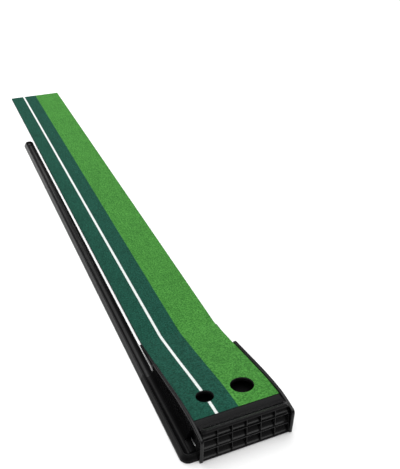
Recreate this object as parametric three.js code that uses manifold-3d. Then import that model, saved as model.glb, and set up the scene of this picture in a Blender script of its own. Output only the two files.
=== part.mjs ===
// Indoor practice putting mat: a 3 m strip of two-tone turf that climbs a moulded ramp with two holes.
// A sunk ball drops onto a sloped tray, leaves through an oval port in the side wall and rolls back
// to the player along a gutter and a snap-together track.
// Millimetres, +Z up, +Y from the player towards the holes, +X towards the ball-return side.
// While the shapes are drawn, X = 0 is the turf's centre line and Y = 0 is the turf's end at the holes;
// the last lines move the origin to the middle of the footprint, on the floor.
import * as THREE from "three";
import { mergeVertices } from "three/addons/utils/BufferGeometryUtils.js";
import Module from "manifold-3d";

const wasm = await Module();
wasm.setup();

// ---- driving dimensions ----
const GAP = 0.3; // left between touching pieces
const PLAY = 0.5; // clearance round clips, tabs and recesses

// turf
const TURF_HALF = 150;
const TURF_THICK = 7;
const TURF_FAR = -3000; // the player's end
const FOLD_START = -510; // first fold line, just in front of the ramp's toe
const FOLDS = 16;
const HOLE_Y = -89;
const HOLES = [
  { x: 73, radius: 30 },
  { x: -61, radius: 40 },
];

// ramp
const RAMP_TOE = -486;
const RAMP_RISE = 92;
const RAMP_CROWN = 0.71; // how far the climb bulges above a straight slope near its top
const TOE_THICK = 1.2;
const DECK_THICK = 3;
const BASE_FLOOR = 2.3; // underside of the base moulding, which stands on its rubber feet
const DECK_RIBS_X = [-80, 0, 80];
const ROOM_FRONT = -165; // cross rib that closes the ball room's front
const FRONT_RAMP_HALF = 157;

// side walls
const WALL_IN = 150.4;
const WALL_SKIN_IN = 157;
const WALL_SKIN_OUT = 160;
const RIM_OUT = 162;
const RIM_DEPTH = 8;
const RIM_ABOVE_TURF = 6;
const WALL_FRONT = -338;
const WALL_REAR = 84;
const WALL_REAR_TOP = 97;
const SKIN = 2.5;

// oval port in the gutter-side wall
const PORT_Y = 20;
const PORT_Z = 47;
const PORT_HALF_WIDTH = 24.5;
const PORT_HALF_HEIGHT = 34.5;

// backstop
const BACKSTOP_HALF = 149.8;
const BACKSTOP_FRONT = 1.8;
const BANK_START = 99.3;
const BANK_CURVE = 2.2; // how sharply the bank turns up towards its lip
const CHEEK_FLOOR = 84; // underside of the bank's end cheeks
const LIP_Y = 62;
const LIP_Z = 119.4;
const LIP_REAR = 67;
const LIP_CORNER = 20;
const REAR_FOOT = 80; // rear plane of the ribbed panel at the floor
const RIB_DEPTH = 22;
const RIB_THICK = 2.2;
const RIB_COLUMNS = 6;
const RIB_LEVELS = [42, 80];
const PANEL_FLOOR = 3;

// gutter and track: the ball rides on the two edges of a half-round channel
const TRACK_MID = 184.5;
const RAIL_HEIGHT = 20;
const CHANNEL_RADIUS = 15.5;
const CHANNEL_SHELL = 2.2;
const GUTTER_FRONT = -318;
const GUTTER_FALL = 0.02; // rise per mm towards the rear
const GUTTER_BEND_Y = 40; // centre of the rounded rear end
const TRACK_PIECES = 7;
const TRACK_END = -2278;
const TONGUE = { reach: 15, half: 10, thick: 1.9, top: 3 };
const MOUTH = { half: 26, inner: 8, bottom: 8, rise: 5 }; // where the port empties into the gutter
const LEDGE = { rear: 24, inner: 6, bottom: 4 };

// tray
const TRAY = { left: -128, right: 149.4, front: -160, rear: 41, thick: 2.5, lip: 10 };
const TRAY_LOW = 12.6; // floor of the tray at the port
const TRAY_SIDE_FALL = 0.055;
const TRAY_REAR_FALL = 0.03;
const TRAY_FLANGE = 46;

// feet, hook tapes, clips and tabs
const FOOT = { x: 145, front: -320, rear: 22, radius: 8, height: 2, seat: 11 };
const HOOK_REAR = [-26, -8];
const HOOK_FRONT = [-478, -460];
const HOOK_HALF = 138;
const HOOK_THICK = 1;
const CLIP = { y: 33, z: 90, halfY: 6, halfZ: 2.2, reach: 2.4 };
const TAB = { x: [-105, 105], half: 10, reach: 4.5, bottom: 12, top: 16 };

// fasteners
const SCREW = { shaft: 1.7, hole: 2, head: 3.6, headHeight: 2.4 };
const TRAY_SCREW_X = [-95, 95];
const TRAY_SCREW_Y = -152;
const GUTTER_SCREW_Y = [-280, -170, -60];
const GUTTER_SCREW_Z = 12;
const TRAY_BOSS_RADIUS = 5;

// ---- materials ----
const material = (color, roughness) => new THREE.MeshStandardMaterial({ color, roughness, metalness: 0 });
const MATERIALS = {
  plastic: material(0x111112, 0.3),
  tray: material(0x1a1a1b, 0.5),
  turf: material(0x2f7a3c, 0.95),
  rubber: material(0x232324, 0.85),
  hook: material(0x2b2b2d, 0.95),
  steel: material(0x9a9ca0, 0.35),
};
MATERIALS.steel.metalness = 1;

// ---- solids ----
function solid(geometry) {
  const bare = geometry.index ? geometry.toNonIndexed() : geometry.clone();
  bare.deleteAttribute("normal");
  bare.deleteAttribute("uv");
  const merged = mergeVertices(bare, 1e-4);
  return new wasm.Manifold(
    new wasm.Mesh({
      numProp: 3,
      vertProperties: merged.attributes.position.array,
      triVerts: new Uint32Array(merged.index.array),
    }),
  );
}

function geometryOf(made) {
  const mesh = made.getMesh();
  const geometry = new THREE.BufferGeometry();
  geometry.setAttribute("position", new THREE.BufferAttribute(mesh.vertProperties, 3));
  geometry.setIndex(new THREE.BufferAttribute(mesh.triVerts, 1));
  return geometry;
}

const joined = (pieces) => pieces.reduce((sum, piece) => sum.add(piece));
const without = (body, cuts) => cuts.reduce((rest, cut) => rest.subtract(cut), body);

function box(x0, x1, y0, y1, z0, z1) {
  const geometry = new THREE.BoxGeometry(x1 - x0, y1 - y0, z1 - z0);
  geometry.translate((x0 + x1) / 2, (y0 + y1) / 2, (z0 + z1) / 2);
  return solid(geometry);
}

function cylinder(radius, length, axis, x, y, z, sides = 24) {
  const geometry = new THREE.CylinderGeometry(radius, radius, length, sides);
  if (axis === "z") geometry.rotateX(Math.PI / 2);
  if (axis === "x") geometry.rotateZ(Math.PI / 2);
  geometry.translate(x, y, z);
  return solid(geometry);
}

const shapeOf = (points) => new THREE.Shape(points.map(([a, b]) => new THREE.Vector2(a, b)));

// An outline in Y and Z, extruded from x0 to x1.
function sideExtrusion(points, x0, x1) {
  const geometry = new THREE.ExtrudeGeometry(shapeOf(points), { depth: x1 - x0, bevelEnabled: false });
  geometry.applyMatrix4(new THREE.Matrix4().makeBasis(
    new THREE.Vector3(0, 1, 0),
    new THREE.Vector3(0, 0, 1),
    new THREE.Vector3(1, 0, 0),
  ));
  geometry.translate(x0, 0, 0);
  return solid(geometry);
}

// An outline in X and Z, extruded from y0 to y1.
function endExtrusion(points, y0, y1) {
  const geometry = new THREE.ExtrudeGeometry(shapeOf(points), { depth: y1 - y0, bevelEnabled: false });
  geometry.rotateX(Math.PI / 2);
  geometry.translate(0, y1, 0);
  return solid(geometry);
}

const stations = (start, end, count) =>
  Array.from({ length: count + 1 }, (_, i) => start + ((end - start) * i) / count);

// A strip between two heights that both depend on Y.
function strip(y0, y1, count, bottom, top, x0, x1) {
  const ys = stations(y0, y1, count);
  const upper = ys.map((y) => [y, top(y)]).reverse();
  return sideExtrusion([...ys.map((y) => [y, bottom(y)]), ...upper], x0, x1);
}

function arc(centreA, centreB, radius, from, to, count) {
  return stations(from, to, count).map((degrees) => {
    const angle = THREE.MathUtils.degToRad(degrees);
    return [centreA + radius * Math.cos(angle), centreB + radius * Math.sin(angle)];
  });
}

// Moves every vertex, as a drafted or sloping mould face does.
function moved(body, change) {
  const geometry = geometryOf(body);
  const position = geometry.attributes.position;
  for (let i = 0; i < position.count; i += 1) {
    position.setXYZ(i, ...change(position.getX(i), position.getY(i), position.getZ(i)));
  }
  return solid(geometry);
}

// ---- curves shared by the ramp, the walls and the turf ----
function deckTop(y) {
  const u = (y - RAMP_TOE) / -RAMP_TOE;
  return TOE_THICK + RAMP_RISE * (u + RAMP_CROWN * u ** 3 * (1 - u));
}
const deckUnder = (y) => Math.max(0, deckTop(y) - DECK_THICK);
const turfTop = (y) => deckTop(y) + TURF_THICK;

function rimTop(y) {
  const crest = turfTop(0) + RIM_ABOVE_TURF;
  if (y <= 0) return turfTop(y) + RIM_ABOVE_TURF;
  return crest - (crest - WALL_REAR_TOP) * (y / WALL_REAR) ** 2;
}

// ---- base moulding ----
// Side view of a wall, drawn in by an inset all round except at the open bottom.
function wallOutline(inset, bottom) {
  const front = WALL_FRONT + inset;
  const rear = WALL_REAR - inset;
  const corner = Math.max(14 - inset, 5);
  const top = stations(front + corner, rear - corner, 22).map((y) => [y, rimTop(y) - inset]);
  const frontTop = rimTop(front + corner) - inset;
  const rearTop = rimTop(rear - corner) - inset;
  return [
    [front, bottom],
    ...arc(front + corner, frontTop - corner, corner, 180, 100, 5),
    ...top,
    ...arc(rear - corner, rearTop - corner, corner, 80, 0, 5),
    [rear - 3, bottom],
  ].reverse();
}

function sideWall(side) {
  const spanX = (a, b) => (side > 0 ? [a, b] : [-b, -a]);
  const whole = sideExtrusion(wallOutline(0, BASE_FLOOR), ...spanX(WALL_IN, RIM_OUT));
  const cavity = sideExtrusion(wallOutline(RIM_DEPTH, -5), ...spanX(WALL_IN + SKIN, WALL_SKIN_IN));
  const faceRelief = sideExtrusion(wallOutline(RIM_DEPTH, -5), ...spanX(WALL_SKIN_OUT, RIM_OUT + 5));
  const underDeck = strip(WALL_FRONT + RIM_DEPTH, 0, 16, () => -5, (y) => deckTop(y) - DECK_THICK / 2,
    ...spanX(WALL_IN - 5, WALL_SKIN_IN));
  return without(whole, [cavity, faceRelief, underDeck]);
}

function oval(halfWidth, halfHeight, x0, x1) {
  const points = stations(0, 345, 23).map((degrees) => {
    const angle = THREE.MathUtils.degToRad(degrees);
    return [PORT_Y + halfWidth * Math.cos(angle), PORT_Z + halfHeight * Math.sin(angle)];
  });
  return sideExtrusion(points, x0, x1);
}

const FOOT_PADS = [-1, 1].flatMap((side) => [
  { name: side > 0 ? "foot_front_return_side" : "foot_front_far_side", x: side * FOOT.x, y: FOOT.front },
  { name: side > 0 ? "foot_rear_return_side" : "foot_rear_far_side", x: side * FOOT.x, y: FOOT.rear },
]);

const DECK_HALF = WALL_IN - GAP;

// The base is one moulding, drawn as four solids: two side walls, the deck and the ribs under it.
function baseWall(side) {
  const spanX = (a, b) => [Math.min(side * a, side * b), Math.max(side * a, side * b)];
  const parts = [sideWall(side)];
  for (const pad of FOOT_PADS.filter((one) => Math.sign(one.x) === side)) {
    parts.push(box(...spanX(FOOT.x - FOOT.seat - 1, WALL_SKIN_IN + 1), pad.y - FOOT.seat, pad.y + FOOT.seat,
      BASE_FLOOR, 6));
  }
  const cuts = [box(...spanX(WALL_IN - 1, WALL_IN + SKIN + 1), CLIP.y - CLIP.halfY - PLAY,
    CLIP.y + CLIP.halfY + PLAY, CLIP.z - CLIP.halfZ - PLAY, CLIP.z + CLIP.halfZ + PLAY)];
  if (side > 0) {
    parts.push(box(WALL_IN, WALL_SKIN_OUT - 0.5, PORT_Y - 30, PORT_Y + 30, 8, PORT_Z + 42));
    cuts.push(oval(PORT_HALF_WIDTH, PORT_HALF_HEIGHT, WALL_IN - 2, RIM_OUT + 2));
    for (const y of GUTTER_SCREW_Y) {
      cuts.push(cylinder(SCREW.hole, 12, "x", WALL_SKIN_OUT, y, GUTTER_SCREW_Z, 12));
    }
  }
  return without(joined(parts), cuts).simplify(0.01);
}

function deckPlate() {
  const plate = strip(WALL_FRONT, 0, 22, deckUnder, deckTop, -DECK_HALF, DECK_HALF);
  const cuts = HOLES.map((hole) => cylinder(hole.radius + 1.5, 120, "z", hole.x, HOLE_Y, 90, 40));
  const bed = (y) => deckTop(y) - HOOK_THICK - GAP;
  cuts.push(strip(HOOK_REAR[0] - PLAY, HOOK_REAR[1] + PLAY, 2, bed, (y) => deckTop(y) + 5,
    -HOOK_HALF - PLAY, HOOK_HALF + PLAY));
  return without(plate, cuts).simplify(0.01);
}

function deckRibs() {
  const highest = (y) => deckTop(y) - DECK_THICK - GAP;
  const hangs = (y0, y1, x0, x1) => {
    const top = stations(y1, y0, y1 - y0 > 10 ? 10 : 1).map((y) => [y, highest(y)]);
    return sideExtrusion([[y0, BASE_FLOOR], [y1, BASE_FLOOR], ...top], x0, x1);
  };
  const parts = [WALL_FRONT, ROOM_FRONT].map((y) => hangs(y, y + SKIN, -DECK_HALF, DECK_HALF));
  for (const x of DECK_RIBS_X) {
    parts.push(hangs(WALL_FRONT + 1, ROOM_FRONT + 1, x - RIB_THICK / 2, x + RIB_THICK / 2));
  }
  const cuts = [];
  for (const x of TRAY_SCREW_X) {
    const low = TRAY_FLANGE + TRAY.thick + GAP;
    const high = highest(TRAY_SCREW_Y - TRAY_BOSS_RADIUS);
    parts.push(cylinder(TRAY_BOSS_RADIUS, high - low, "z", x, TRAY_SCREW_Y, (low + high) / 2, 16));
    const gussetTop = highest(ROOM_FRONT + 1);
    parts.push(box(x - RIB_THICK / 2, x + RIB_THICK / 2, ROOM_FRONT + 1, TRAY_SCREW_Y, low, gussetTop));
    cuts.push(cylinder(SCREW.hole, 14, "z", x, TRAY_SCREW_Y, TRAY_FLANGE + 8, 12));
  }
  for (const x of TAB.x) {
    const half = TAB.half + PLAY;
    const rear = WALL_FRONT + TAB.reach + PLAY;
    cuts.push(box(x - half, x + half, WALL_FRONT - 2, rear, TAB.bottom - PLAY, TAB.top + PLAY));
  }
  return without(joined(parts), cuts).simplify(0.01);
}

// ---- front ramp, clipped to the base by two tabs ----
const FRONT_RAMP_REAR = WALL_FRONT - GAP;

function frontRamp() {
  const whole = (x0, x1, y0 = RAMP_TOE) => strip(y0, FRONT_RAMP_REAR, 10, () => 0, deckTop, x0, x1);
  const parts = [strip(RAMP_TOE, FRONT_RAMP_REAR, 10, deckUnder, deckTop, -FRONT_RAMP_HALF, FRONT_RAMP_HALF)];
  parts.push(whole(-FRONT_RAMP_HALF, -FRONT_RAMP_HALF + 3), whole(FRONT_RAMP_HALF - 3, FRONT_RAMP_HALF));
  parts.push(whole(-FRONT_RAMP_HALF, FRONT_RAMP_HALF, FRONT_RAMP_REAR - SKIN));
  for (const x of DECK_RIBS_X) parts.push(whole(x - RIB_THICK / 2, x + RIB_THICK / 2));
  for (const x of TAB.x) {
    const rear = WALL_FRONT + TAB.reach;
    parts.push(box(x - TAB.half, x + TAB.half, FRONT_RAMP_REAR - 1, rear, TAB.bottom, TAB.top));
  }
  const bed = strip(HOOK_FRONT[0] - PLAY, HOOK_FRONT[1] + PLAY, 2, (y) => deckTop(y) - HOOK_THICK - GAP,
    (y) => deckTop(y) + 5, -HOOK_HALF - PLAY, HOOK_HALF + PLAY);
  return without(joined(parts), [bed]);
}

const hookStrip = ([y0, y1]) =>
  strip(y0, y1, 2, (y) => deckTop(y) - HOOK_THICK, deckTop, -HOOK_HALF, HOOK_HALF);

// ---- backstop: a bank that stops a fast ball, over a ribbed hollow back ----
function bankTop(y) {
  const along = Math.max(0, (y - BACKSTOP_FRONT) / (LIP_Y - BACKSTOP_FRONT));
  return BANK_START + (LIP_Z - BANK_START) * along ** BANK_CURVE;
}
const rearPlane = (z) => REAR_FOOT + ((LIP_REAR - REAR_FOOT) * z) / LIP_Z;

function backstop() {
  const parts = [];
  const bank = stations(BACKSTOP_FRONT, LIP_Y, 12).map((y) => [y, bankTop(y)]);
  const under = bank.map(([y, z]) => [y + 1, z - SKIN]).reverse();
  parts.push(sideExtrusion([[BACKSTOP_FRONT, 90], ...under.slice(-1).map(([y]) => [y + 1.5, 90]),
    ...under.slice(0, -1).reverse(), [rearPlane(LIP_Z - 3), LIP_Z - 3], [LIP_REAR, LIP_Z - 0.6],
    ...bank.reverse()], -BACKSTOP_HALF, BACKSTOP_HALF));
  const plate = (z) => rearPlane(z) - RIB_DEPTH;
  const plateTop = 105;
  parts.push(sideExtrusion([
    [plate(PANEL_FLOOR), PANEL_FLOOR],
    [plate(PANEL_FLOOR) + SKIN, PANEL_FLOOR],
    [plate(plateTop) + SKIN, plateTop],
    [plate(plateTop), plateTop],
  ], -BACKSTOP_HALF, BACKSTOP_HALF));
  const ribOutline = [
    [plate(PANEL_FLOOR) + 1, PANEL_FLOOR],
    [rearPlane(PANEL_FLOOR), PANEL_FLOOR],
    [rearPlane(LIP_Z - 2), LIP_Z - 2],
    [LIP_Y - 3, bankTop(LIP_Y - 3) - 1],
    [plate(100) + 1, bankTop(plate(100) + 1) - 1],
  ];
  for (let i = 0; i <= RIB_COLUMNS; i += 1) {
    const end = BACKSTOP_HALF - RIB_THICK / 2;
    const x = THREE.MathUtils.lerp(-end, end, i / RIB_COLUMNS);
    parts.push(sideExtrusion(ribOutline, x - RIB_THICK / 2, x + RIB_THICK / 2));
  }
  for (const level of [PANEL_FLOOR, ...RIB_LEVELS]) {
    parts.push(sideExtrusion([
      [plate(level) + 1, level],
      [rearPlane(level), level],
      [rearPlane(level), level + RIB_THICK],
      [plate(level) + 1, level + RIB_THICK],
    ], -BACKSTOP_HALF, BACKSTOP_HALF));
  }
  const cheek = [
    [BACKSTOP_FRONT, CHEEK_FLOOR],
    [plate(CHEEK_FLOOR) + 1, CHEEK_FLOOR],
    ...stations(plate(CHEEK_FLOOR) + 1, BACKSTOP_FRONT, 5).map((y) => [y, bankTop(y) - 1]),
  ];
  for (const side of [-1, 1]) {
    const near = side * (BACKSTOP_HALF - RIB_THICK);
    const far = side * BACKSTOP_HALF;
    parts.push(sideExtrusion(cheek, Math.min(near, far), Math.max(near, far)));
    const tip = side * (BACKSTOP_HALF + CLIP.reach);
    parts.push(box(Math.min(near, tip), Math.max(near, tip), CLIP.y - CLIP.halfY, CLIP.y + CLIP.halfY,
      CLIP.z - CLIP.halfZ, CLIP.z + CLIP.halfZ));
  }
  const corner = LIP_Z + 1 - LIP_CORNER;
  const reach = BACKSTOP_HALF + CLIP.reach;
  const frontView = [
    [-reach, 0],
    [reach, 0],
    [reach, corner - 25],
    [BACKSTOP_HALF, corner - 25],
    ...arc(BACKSTOP_HALF - LIP_CORNER, corner, LIP_CORNER, 0, 90, 6),
    ...arc(-BACKSTOP_HALF + LIP_CORNER, corner, LIP_CORNER, 90, 180, 6),
    [-BACKSTOP_HALF, corner - 25],
    [-reach, corner - 25],
  ];
  return joined(parts).intersect(endExtrusion(frontView, -10, 120));
}

// ---- ball tray under the holes ----
const trayFloor = (x, y) => TRAY_LOW + (TRAY.right - x) * TRAY_SIDE_FALL + (PORT_Y - y) * TRAY_REAR_FALL;

function ballTray() {
  const onSlope = (x0, x1, y0, y1, z0, z1) =>
    moved(box(x0, x1, y0, y1, z0, z1), (x, y, z) => [x, y, z + trayFloor(x, y)]);
  const { left, right, front, rear, thick, lip } = TRAY;
  const parts = [onSlope(left, right, front, rear, -thick, 0)];
  parts.push(onSlope(left, left + 2, front, rear, -1, lip));
  parts.push(onSlope(left, right, rear - 2, rear, -1, lip));
  parts.push(onSlope(right - 2, right, front, PORT_Y - 26, -1, lip));
  const screen = [[left, trayFloor(left, front) - 1], [right, trayFloor(right, front) - 1],
    [right, TRAY_FLANGE + 1], [left, TRAY_FLANGE + 1]];
  parts.push(endExtrusion(screen, front, front + 2));
  parts.push(box(left, right, front, TRAY_SCREW_Y + 6, TRAY_FLANGE, TRAY_FLANGE + thick));
  for (const x of [left + 6, right - 6]) {
    parts.push(box(x - 6, x + 6, rear - 3, rear, BASE_FLOOR, trayFloor(x, rear) - 1));
  }
  const cuts = TRAY_SCREW_X.map((x) => cylinder(SCREW.hole, 20, "z", x, TRAY_SCREW_Y, TRAY_FLANGE, 12));
  return without(joined(parts), cuts);
}

// ---- gutter and track ----
const sectionCentre = [TRACK_MID, RAIL_HEIGHT];

function outerHalf() {
  const shell = CHANNEL_RADIUS + CHANNEL_SHELL;
  return [
    [TRACK_MID, RAIL_HEIGHT - shell],
    ...arc(...sectionCentre, shell, -82, -22, 6),
    [203.5, 13],
    [210, 2.6],
    [210.6, 0],
    [213.5, 0],
    [212.6, 3.4],
    [206.6, 14],
    [204.3, 19.4],
    [203.4, RAIL_HEIGHT],
    ...arc(...sectionCentre, CHANNEL_RADIUS, 0, -90, 9),
  ];
}

// The inner half is the outer half's mirror, with a steeper skirt.
function innerHalf() {
  const narrower = (x) => (x > 203 ? 203 + (x - 203) * 0.35 : x);
  return outerHalf().map(([x, z]) => [2 * TRACK_MID - narrower(x), z]).reverse();
}

const run = (outline, y0, y1) => endExtrusion(outline, y0, y1);

// A bowl: a half section turned once round the channel's middle line.
function bowl(halfOutline, y) {
  const profile = halfOutline.map(([x, z]) => new THREE.Vector2(Math.max(0, Math.abs(x - TRACK_MID)), z));
  const geometry = new THREE.LatheGeometry(profile, 48);
  geometry.rotateX(Math.PI / 2);
  geometry.translate(TRACK_MID, y, 0);
  return solid(geometry);
}

function tongue(y) {
  const [left, right] = [TRACK_MID - TONGUE.half, TRACK_MID + TONGUE.half];
  const root = box(left, right, y + 1, y + TONGUE.reach, 1, TONGUE.top);
  return box(left, right, y - TONGUE.reach, y + TONGUE.reach, GAP, TONGUE.thick).add(root);
}

// One moulding, drawn as two solids that meet at the mouth: the straight run, and the bend behind it.
function gutter() {
  const inside = WALL_SKIN_OUT + GAP;
  const flange = [
    [inside, 0],
    [169.5, 0],
    [169.5, 11],
    [168, 14],
    [TRACK_MID - CHANNEL_RADIUS + 0.6, RAIL_HEIGHT - 3],
    [TRACK_MID - CHANNEL_RADIUS, RAIL_HEIGHT],
    [inside, RAIL_HEIGHT],
  ];
  const sections = [outerHalf(), innerHalf(), flange];
  const parts = sections.map((outline) => run(outline, GUTTER_FRONT, GUTTER_BEND_Y));
  const corner = box(TRACK_MID, TRACK_MID + 60, GUTTER_BEND_Y, GUTTER_BEND_Y + 60, -1, 60);
  parts.push(bowl(outerHalf(), GUTTER_BEND_Y).intersect(corner));
  const rearHalf = outerHalf().map(([x, z]) => [GUTTER_BEND_Y + x - TRACK_MID, z]);
  parts.push(sideExtrusion(rearHalf, inside, TRACK_MID));
  const shape = joined(parts);
  const mouthFront = PORT_Y - MOUTH.half;
  const mouth = box(inside - 1, TRACK_MID - MOUTH.inner, mouthFront, PORT_Y + MOUTH.half,
    MOUTH.bottom, RAIL_HEIGHT + MOUTH.rise);
  const ledge = box(inside, TRACK_MID - LEDGE.inner, mouthFront, PORT_Y + LEDGE.rear,
    LEDGE.bottom, MOUTH.bottom);
  const sloped = moved(shape.subtract(mouth).add(ledge), (x, y, z) =>
    [x, y, z > 1 ? z + GUTTER_FALL * (y - GUTTER_FRONT) : z]);
  const bores = GUTTER_SCREW_Y.map((y) => cylinder(SCREW.hole, 14, "x", inside, y, GUTTER_SCREW_Z, 12));
  const whole = without(sloped, bores).add(tongue(GUTTER_FRONT));
  const between = (y0, y1) => whole.intersect(box(inside - 5, inside + 60, y0, y1, -1, 60));
  return {
    straight: between(GUTTER_FRONT - 2 * TONGUE.reach, mouthFront),
    bend: between(mouthFront + GAP, GUTTER_BEND_Y + 60),
  };
}

function trackPiece(index) {
  const length = (GUTTER_FRONT - TRACK_END) / TRACK_PIECES;
  const y1 = GUTTER_FRONT - GAP - index * length;
  const y0 = y1 - length + GAP;
  return joined([run(outerHalf(), y0, y1), run(innerHalf(), y0, y1), tongue(y0)]);
}

function trackEndStop() {
  const y = TRACK_END - GAP;
  const quarter = (x0, x1) => box(x0, x1, y - 60, y - 3, -1, 60);
  return joined([
    bowl(outerHalf(), y - 3).intersect(quarter(TRACK_MID, TRACK_MID + 60)),
    bowl(innerHalf().reverse(), y - 3).intersect(quarter(TRACK_MID - 60, TRACK_MID)),
    run(outerHalf(), y - 3, y),
    run(innerHalf(), y - 3, y),
  ]);
}

// ---- turf ----
function turfUnder(y) {
  if (y >= RAMP_TOE) return deckTop(y) + GAP;
  return Math.max(0, (TOE_THICK + GAP) * (1 - (RAMP_TOE - y) / 12));
}

// The stretch on the ramp, drawn as two solids: the part with the holes, and the climb to it.
function turfRamp() {
  const ys = [FOLD_START + GAP, RAMP_TOE - 12, ...stations(RAMP_TOE, -0.6, 26)];
  const sheet = sideExtrusion([
    ...ys.map((y) => [y, turfUnder(y)]),
    ...ys.map((y) => [y, turfUnder(y) + TURF_THICK]).reverse(),
  ], -TURF_HALF, TURF_HALF);
  const holed = without(sheet, HOLES.map((hole) => cylinder(hole.radius, 120, "z", hole.x, HOLE_Y, 90, 40)));
  const between = (y0, y1) => holed.intersect(box(-TURF_HALF - 5, TURF_HALF + 5, y0, y1, -5, 150));
  return { holed: between(ROOM_FRONT, 5), approach: between(FOLD_START - 5, ROOM_FRONT - GAP) };
}

function turfPanel(index) {
  const length = (FOLD_START - TURF_FAR) / FOLDS;
  const y1 = FOLD_START - index * length;
  return box(-TURF_HALF, TURF_HALF, y1 - length + GAP, y1, 0, TURF_THICK);
}

// ---- screws: pan head and shank, the threads left plain ----
function screw(length) {
  const points = [
    [0, -SCREW.headHeight],
    [SCREW.head * 0.7, -SCREW.headHeight],
    [SCREW.head, -SCREW.headHeight * 0.6],
    [SCREW.head, 0],
    [SCREW.shaft, 0],
    [SCREW.shaft, length - 2],
    [SCREW.shaft * 0.4, length],
    [0, length],
  ].map(([r, z]) => new THREE.Vector2(r, z));
  const geometry = new THREE.LatheGeometry(points, 16);
  geometry.rotateX(Math.PI / 2);
  return geometry;
}

// ---- assembly ----
const root = new THREE.Group();

function addGeometry(name, geometry, kind, position) {
  const mesh = new THREE.Mesh(geometry, MATERIALS[kind]);
  mesh.name = name;
  if (position) mesh.position.set(...position);
  root.add(mesh);
  return mesh;
}
const add = (name, made, kind) => addGeometry(name, geometryOf(made), kind);
const numbered = (stem, index) => `${stem}_${String(index + 1).padStart(2, "0")}`;

add("ramp_wall_return", baseWall(1), "plastic");
add("ramp_wall_far", baseWall(-1), "plastic");
add("ramp_deck_plate", deckPlate(), "plastic");
add("ramp_deck_ribs", deckRibs(), "plastic");
add("front_ramp", frontRamp(), "plastic");
add("backstop", backstop(), "plastic");
add("ball_tray", ballTray(), "tray");
const gutterParts = gutter();
add("return_gutter", gutterParts.straight, "plastic");
add("gutter_bend", gutterParts.bend, "plastic");
for (let i = 0; i < TRACK_PIECES; i += 1) add(numbered("track", i), trackPiece(i), "plastic");
add("track_end_stop", trackEndStop(), "plastic");
add("hook_strip_rear", hookStrip(HOOK_REAR), "hook");
add("hook_strip_front", hookStrip(HOOK_FRONT), "hook");
for (const pad of FOOT_PADS) {
  add(pad.name, cylinder(FOOT.radius, FOOT.height, "z", pad.x, pad.y, FOOT.height / 2, 24), "rubber");
}

TRAY_SCREW_X.forEach((x, i) => {
  addGeometry(numbered("tray_screw", i), screw(12), "steel", [x, TRAY_SCREW_Y, TRAY_FLANGE - GAP]);
});
GUTTER_SCREW_Y.forEach((y, i) => {
  const mesh = addGeometry(numbered("gutter_screw", i), screw(9), "steel",
    [WALL_SKIN_IN - GAP, y, GUTTER_SCREW_Z]);
  mesh.rotation.y = Math.PI / 2;
});

const rampTurf = turfRamp();
add("turf_ramp", rampTurf.holed, "turf");
add("turf_climb", rampTurf.approach, "turf");
for (let i = 0; i < FOLDS; i += 1) add(numbered("turf", i), turfPanel(i), "turf");

const bounds = new THREE.Box3().setFromObject(root);
const middle = bounds.getCenter(new THREE.Vector3());
root.position.set(-middle.x, -middle.y, -bounds.min.z);

export default root;
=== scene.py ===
import math
import random

import bmesh
import bpy
from mathutils import Matrix, Vector
from mathutils.geometry import tessellate_polygon


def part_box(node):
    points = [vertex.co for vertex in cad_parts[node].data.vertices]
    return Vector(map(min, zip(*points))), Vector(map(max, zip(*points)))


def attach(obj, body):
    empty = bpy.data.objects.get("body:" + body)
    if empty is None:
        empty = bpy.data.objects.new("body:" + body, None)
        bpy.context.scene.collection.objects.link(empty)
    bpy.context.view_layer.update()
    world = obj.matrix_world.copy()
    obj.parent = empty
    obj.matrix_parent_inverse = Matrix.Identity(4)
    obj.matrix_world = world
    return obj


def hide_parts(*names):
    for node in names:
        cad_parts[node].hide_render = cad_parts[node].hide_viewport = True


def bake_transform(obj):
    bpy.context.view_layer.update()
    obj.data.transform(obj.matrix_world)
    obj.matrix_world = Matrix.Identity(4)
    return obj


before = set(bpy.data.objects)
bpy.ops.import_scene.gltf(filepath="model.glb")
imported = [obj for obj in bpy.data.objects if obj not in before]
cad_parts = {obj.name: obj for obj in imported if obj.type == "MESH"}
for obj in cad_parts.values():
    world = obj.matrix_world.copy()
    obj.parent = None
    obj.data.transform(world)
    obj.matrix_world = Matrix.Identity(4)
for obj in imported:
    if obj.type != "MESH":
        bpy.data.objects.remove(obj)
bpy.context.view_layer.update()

# ---- drawing frame ----
# Shapes are drawn in millimetres from the turf's centre line and its end at the holes.
TURF_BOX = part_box("turf_ramp")
TURF_END_GAP = 0.0006
ORIGIN = Vector(((TURF_BOX[0].x + TURF_BOX[1].x) / 2, TURF_BOX[1].y + TURF_END_GAP, 0))
MM = 0.001


def place(point):
    """A drawn point, in millimetres, in the row frame, in metres."""
    return ORIGIN + Vector(point) * MM


def drawn(point):
    return (Vector(point) - ORIGIN) / MM


# ---- camera, at the photograph's viewing angle ----
CAMERA_AT = Vector((737.6, 1297.1, 1721.1))
CAMERA_AZIMUTH = 0.4279
CAMERA_DROP = 0.5816
CAMERA_ROLL = 0.0277
CAMERA_LENS = 52.1


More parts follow.
